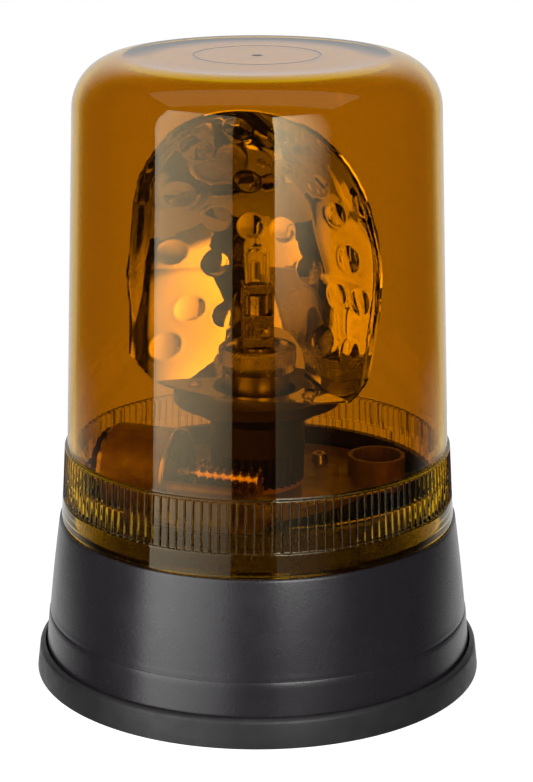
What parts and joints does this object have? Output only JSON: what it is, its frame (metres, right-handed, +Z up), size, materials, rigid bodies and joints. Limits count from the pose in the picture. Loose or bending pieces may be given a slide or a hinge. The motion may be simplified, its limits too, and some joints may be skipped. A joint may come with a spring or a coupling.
{
  "type": "rotating beacon",
  "caption": "Cylindrical warning light with an amber ribbed bayonet dome, a motor and worm turning a dimpled reflector round a halogen bulb, and a black housing on a rubber foot.",
  "frame": {"origin": "centre of the rubber foot's underside", "axes": "+Z up along the rotor's axis; X along the motor and worm, with the motor on the -X side; the reflector faces -Y at rest"},
  "size_m": [0.1644, 0.1644, 0.2271],
  "materials": {
    "foot_rubber": "moulded, matt",
    "housing_plastic": "moulded, satin black",
    "insert_brass": "turned and knurled",
    "terminal_plastic": "moulded",
    "capacitor_film": "dipped, glossy",
    "cast_zinc": "die-cast, dull grey",
    "zinc_steel": "zinc plated",
    "spring_steel": "sprung, oiled",
    "slide_plastic": "moulded, natural white",
    "rotor_plastic": "moulded, satin black",
    "bush_bronze": "sintered, oiled",
    "reflector_aluminium": "polished and dimpled",
    "socket_metal": "turned, dull",
    "knurled_metal": "knurled, nickel plated",
    "insulator_phenolic": "moulded",
    "contact_brass": "turned",
    "bulb_metal": "pressed, bright",
    "bulb_quartz": "clear quartz",
    "filament_tungsten": "drawn wire",
    "motor_steel": "drawn, bright",
    "motor_plastic": "moulded, black",
    "shaft_steel": "ground",
    "worm_brass": "turned, bright",
    "lens_amber": "moulded, clear amber"
  },
  "bodies": {
    "base": {"rubber_foot": "foot_rubber", "base_housing": "housing_plastic", "mounting_inserts": "insert_brass", "cable_grommet": "foot_rubber", "terminal_block": "terminal_plastic", "suppressor_capacitor": "capacitor_film", "lens_seal": "foot_rubber", "chassis": "cast_zinc", "chassis_screws": "zinc_steel", "deck_rivet": "zinc_steel", "bearing_post": "zinc_steel", "thrust_washer": "slide_plastic", "retaining_ring": "spring_steel", "bulb_socket": "socket_metal", "socket_insulator": "insulator_phenolic", "lamp_contact": "contact_brass", "bulb_ring": "knurled_metal", "bulb_clamp_plate": "spring_steel", "bulb_base": "bulb_metal", "bulb_shell": "bulb_metal", "bulb_glass": "bulb_quartz", "bulb_filament": "filament_tungsten", "motor_can": "motor_steel", "motor_front_bush": "bush_bronze", "motor_end_cap": "motor_plastic", "motor_terminals": "contact_brass"},
    "rotor": {"rotor_hub": "rotor_plastic", "rotor_bush_lower": "bush_bronze", "rotor_bush_upper": "bush_bronze", "reflector": "reflector_aluminium", "reflector_rivets": "zinc_steel"},
    "worm_drive": {"worm": "worm_brass", "motor_shaft": "shaft_steel"},
    "lens": {"lens_dome": "lens_amber"}
  },
  "joints": [
    {"name": "rotor_spin", "type": "hinge", "parent": "base", "child": "rotor", "pos_m": [0, 0, 0.09], "axis": [0, 0, 1], "continuous": true},
    {"name": "worm_spin", "type": "hinge", "parent": "base", "child": "worm_drive", "pos_m": [0, -0.0203, 0.0775], "axis": [1, 0, 0], "continuous": true},
    {"name": "lens_twist", "type": "hinge", "parent": "base", "child": "lens", "pos_m": [0, 0, 0.0685], "axis": [0, 0, 1], "range_deg": [0, 50]}
  ],
  "couplings": [
    {"joint": "worm_spin", "follows": "rotor_spin", "ratio": -32}
  ]
}
